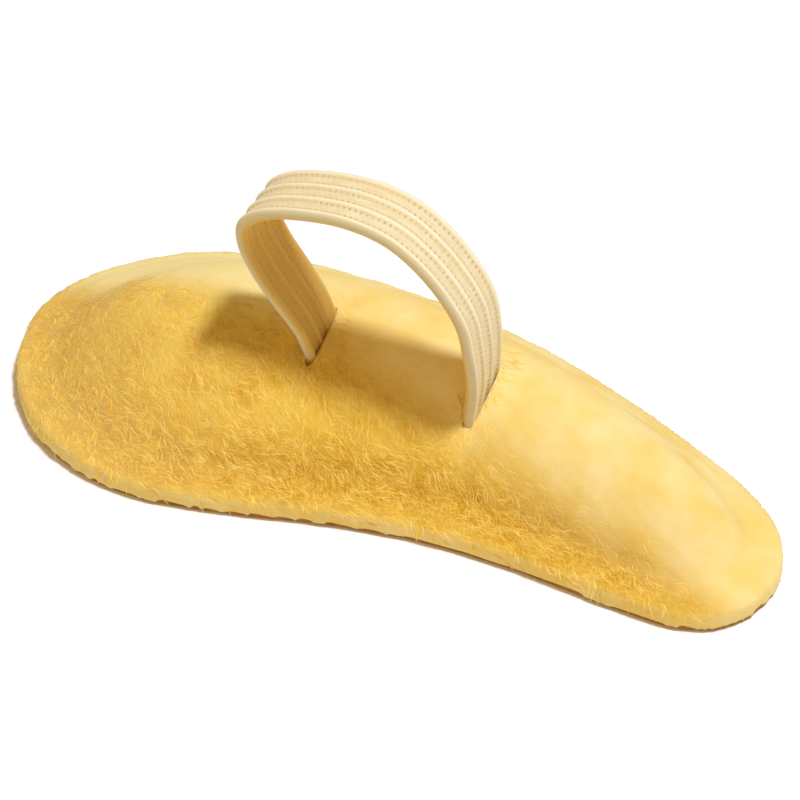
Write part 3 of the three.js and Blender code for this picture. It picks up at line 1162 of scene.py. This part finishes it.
# painted shade: how strongly the loop's inside is painted a deeper ochre
INSIDE_SHADE = 0.75
GAP = (0.1, 1.0)  # the wave's values where a gap between cross threads starts and is full
YARN = 0.35
YARN_UNEVEN = (0.35, 0.65)
YARN_DRAWN = 5
YARN_HEIGHT = 0.03
YARN_STRENGTH = 0.5


def elastic_finish():
    material, tree, shader = new_material(
        "cotton_braided_elastic", Roughness=0.8, Sheen_Weight=0.2, Sheen_Roughness=0.4,
        Specular_IOR_Level=0.25,
    )
    weave = add_node(tree, "ShaderNodeAttribute", {"attribute_name": "weave"}).outputs["Vector"]
    across, along, out = add_node(tree, "ShaderNodeSeparateXYZ", {"Vector": weave}).outputs
    shifted = add_node(tree, "ShaderNodeMath", {"operation": "ADD", 0: across, 1: FACE_REACH}).outputs[0]
    from_rib = add_node(tree, "ShaderNodeMath", {
        "operation": "PINGPONG", 0: shifted, 1: RIB_SPACING / 2,
    }).outputs[0]
    from_middle = add_node(tree, "ShaderNodeMath", {"operation": "ABSOLUTE", 0: across}).outputs[0]
    turns = add_node(tree, "ShaderNodeMath", {
        "operation": "MULTIPLY", 0: along, 1: 2 * math.pi / STITCH,
    }).outputs[0]
    wave = add_node(tree, "ShaderNodeMath", {"operation": "SINE", 0: turns}).outputs[0]
    drawn = add_node(tree, "ShaderNodeMapping", {
        "Scale": (1, 1 / YARN_DRAWN, 1), "Vector": weave,
    }).outputs["Vector"]
    yarn = add_node(tree, "ShaderNodeTexNoise", {
        "Vector": drawn, "Scale": 1 / YARN, "Detail": 2,
    }).outputs["Fac"]
    off_rib, near, far, gap, on_face, edge, inside, uneven = [
        add_node(tree, "ShaderNodeMapRange", {
            "Value": value, "From Min": start, "From Max": full,
        }).outputs["Result"]
        for value, start, full in (
            (from_rib, *RIB_HIGHLIGHT),
            (from_rib, RUNG_FROM, RUNG_FROM + RUNG_SOFT),
            (from_rib, RUNG_TO, RUNG_TO - RUNG_SOFT),
            (wave, *GAP),
            (from_middle, FACE_REACH, FACE_REACH - RIB_HALF),
            (from_middle, FACE_REACH, FACE_REACH + EDGE_ROUND),
            (out, 0, -BAND_THICKNESS / 4),
            (yarn, *YARN_UNEVEN),
        )
    ]
    panel = lay_colour(tree, "e8d3a2", "efdfb6", uneven)
    # painted highlight: the ribs' tops are painted lighter than the panels
    rib_highlighted = lay_colour(tree, "f9eeca", panel, off_rib)
    # painted shade: the grooves beside the ribs and the gaps between the rungs are painted darker
    groove_shaded = lay_colour(tree, rib_highlighted, "d8c690", near, far, on_face, GROOVE_SHADE)
    gap_shaded = lay_colour(tree, groove_shaded, "ab9463", near, far, gap, on_face, uneven, GAP_SHADE)
    # painted shade and reflection: the rounded edges are tinted greyish
    edge_shaded = lay_colour(tree, gap_shaded, "cfc492", edge, EDGE_SHADE)
    # painted shade: the loop's inside is painted a deeper ochre
    toned = lay_colour(tree, edge_shaded, "e0b32c", inside, INSIDE_SHADE)
    finish_surface(tree, shader, toned, yarn, YARN_HEIGHT, YARN_STRENGTH)
    return material


elastic.data.materials.append(elastic_finish())
print("elastic is finished as", elastic.data.materials[0].name)

# %% [markdown]
# ## The sole sheet
# The sole is a flat sheet of thin felted fabric, cut to the cushion's outline. It is one true
# sheet of cloth, laid flat, so its cut size is its size. A face is drawn through the outline,
# extruded by the cloth's thickness and bevelled a little, because felted cloth has no sharp rims.
# Felt gives the eye a dull, grainy ochre, partly its own colour and partly painted shade: only its cut
# edge shows, as a dark line under the hem, where the hem shades it.

# %% Sole sheet
SOLE_EDGE_ROUND = 0.12
SOLE_RIM_ANGLE = 60  # edges sharper than this, in degrees, are rims
SOLE_GRAIN = 0.8
SOLE_GRAIN_SEEN = (0.3, 0.7)
SOLE_GRAIN_HEIGHT = 0.12
SOLE_GRAIN_STRENGTH = 0.6


def sole_finish():
    material, tree, shader = new_material(
        "felted_sole_fabric_ochre", Roughness=0.95, Sheen_Weight=0.15, Specular_IOR_Level=0.15,
    )
    place = add_node(tree, "ShaderNodeTexCoord", {}).outputs["Object"]
    grain = add_node(tree, "ShaderNodeTexNoise", {
        "Vector": place, "Scale": per_size(SOLE_GRAIN), "Detail": 4,
    }).outputs["Fac"]
    start, full = SOLE_GRAIN_SEEN
    seen = add_node(tree, "ShaderNodeMapRange", {
        "Value": grain, "From Min": start, "From Max": full,
    }).outputs["Result"]
    # painted shade: the ochre is darkened for the shaded cut edge under the hem
    ochre_and_shade = lay_colour(tree, "966622", "c08c38", seen)
    finish_surface(tree, shader, ochre_and_shade, grain, SOLE_GRAIN_HEIGHT, SOLE_GRAIN_STRENGTH)
    return material


def laid_sheet(outline, thickness):
    """A flat face through the outline, given its thickness and soft rims."""
    bm = bmesh.new()
    top = bm.faces.new([bm.verts.new((point.x, point.y, thickness)) for point in outline])
    sides = bmesh.ops.extrude_face_region(bm, geom=[top])["geom"]
    moved = [item for item in sides if isinstance(item, bmesh.types.BMVert)]
    bmesh.ops.translate(bm, vec=(0, 0, -thickness), verts=moved)
    bmesh.ops.recalc_face_normals(bm, faces=bm.faces)
    rims = [edge for edge in bm.edges if edge.calc_face_angle(0) > math.radians(SOLE_RIM_ANGLE)]
    bmesh.ops.bevel(
        bm, geom=rims, affect="EDGES", offset=SOLE_EDGE_ROUND * MM, segments=2,
        profile=0.5, material=-1,
    )
    return bm


low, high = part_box("sole_sheet")
sole_bm = laid_sheet(sole_outline, high.z)
sole_area = max(face.calc_area() for face in sole_bm.faces)
sole = object_from(sole_bm, "sole_sheet_laid")
sole.data.materials.append(sole_finish())
print("its area is", round(sole_area / MM ** 2), "square mm")
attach(sole, "root")
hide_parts("sole_sheet")

# %% [markdown]
# ## Floor and light
# The table is matt white paper in soft studio light, as in a catalogue. The main light is slightly
# cool. It comes from the right, a little from behind and well above, so the elastic's shadow falls
# along the crest between the slits, and its size gives that shadow its soft edge. A large warm
# light from the front left and a warm sky fill the shadows and keep them golden on the fabric.

# %% Floor and light
FLOOR_SIZE = 6000
FLOOR_DROP = 0.05
LIGHT_DISTANCE = 1500
LIGHTS = [
    {
        "name": "key", "azimuth": 102, "elevation": 73,
        "size": 250, "power": 20, "colour": "e9f0ff",
    },
    {
        "name": "fill", "azimuth": -20, "elevation": 40,
        "size": 1200, "power": 2.8, "colour": "ffd698",
    },
]
SKY_STRENGTH = 0.36
SKY_COLOUR = "ffe4b8"

floor_bm = bmesh.new()
bmesh.ops.create_grid(floor_bm, x_segments=1, y_segments=1, size=FLOOR_SIZE / 2 * MM)
bmesh.ops.translate(floor_bm, vec=(0, 0, -FLOOR_DROP * MM), verts=floor_bm.verts)
floor = object_from(floor_bm, "floor")
paper, _, paper_shader = new_material("white_paper_table", Roughness=0.8, Base_Color=linear("fdfdff"))
floor.data.materials.append(paper)


def add_light(name, azimuth, elevation, size, power, colour):
    lamp = new_object(name, bpy.data.lights.new(name, "AREA"))
    lamp.data.shape = "DISK"
    lamp.data.size = size * MM
    lamp.data.energy = power
    lamp.data.color = linear(colour)[:3]
    aim(lamp, direction(azimuth, elevation), LIGHT_DISTANCE, (0, 0, CREST_HEIGHT))
    print(name, "light is", size, "mm wide")


for light in LIGHTS:
    add_light(**light)
world = bpy.data.worlds.new("studio")
bpy.context.scene.world = world
world.use_nodes = True
world.node_tree.nodes["Background"].inputs["Color"].default_value = linear(SKY_COLOUR)
world.node_tree.nodes["Background"].inputs["Strength"].default_value = SKY_STRENGTH
bpy.context.scene.view_settings.view_transform = "Standard"
